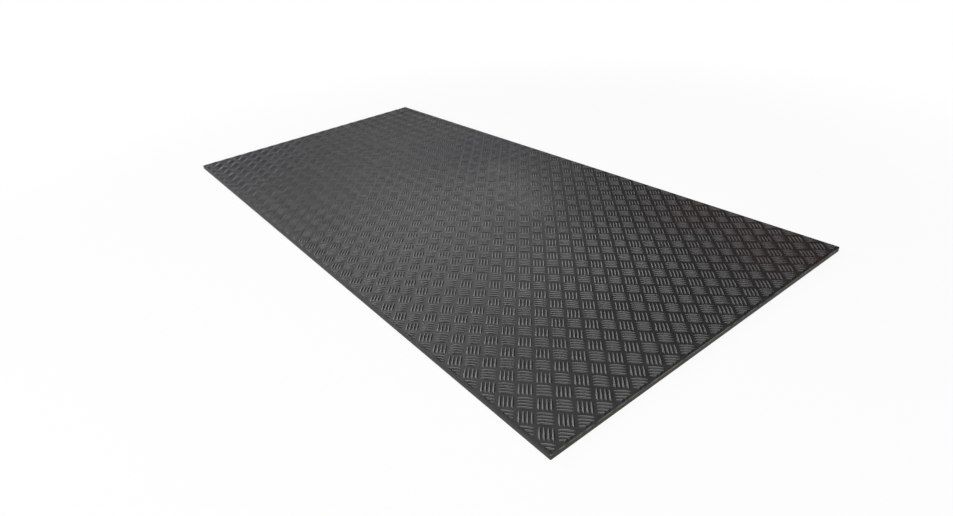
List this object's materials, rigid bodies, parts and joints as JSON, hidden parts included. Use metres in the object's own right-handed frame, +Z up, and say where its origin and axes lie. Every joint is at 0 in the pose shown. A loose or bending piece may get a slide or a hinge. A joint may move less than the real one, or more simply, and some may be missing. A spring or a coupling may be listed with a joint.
{
  "type": "ground protection mat",
  "caption": "Flat rectangular ground protection mat of black plastic with a basket-weave bar tread on top, a narrow plain rim and a smooth underside.",
  "frame": {"origin": "middle of the flat underside", "axes": "+X along the long side, +Y along the short side, +Z up out of the treaded face"},
  "size_m": [2.44, 1.22, 0.0186],
  "materials": {
    "black_plastic": "moulded black polyethylene, semi-matt, with scuffs"
  },
  "bodies": {
    "root": {"mat": "black_plastic"}
  },
  "joints": []
}
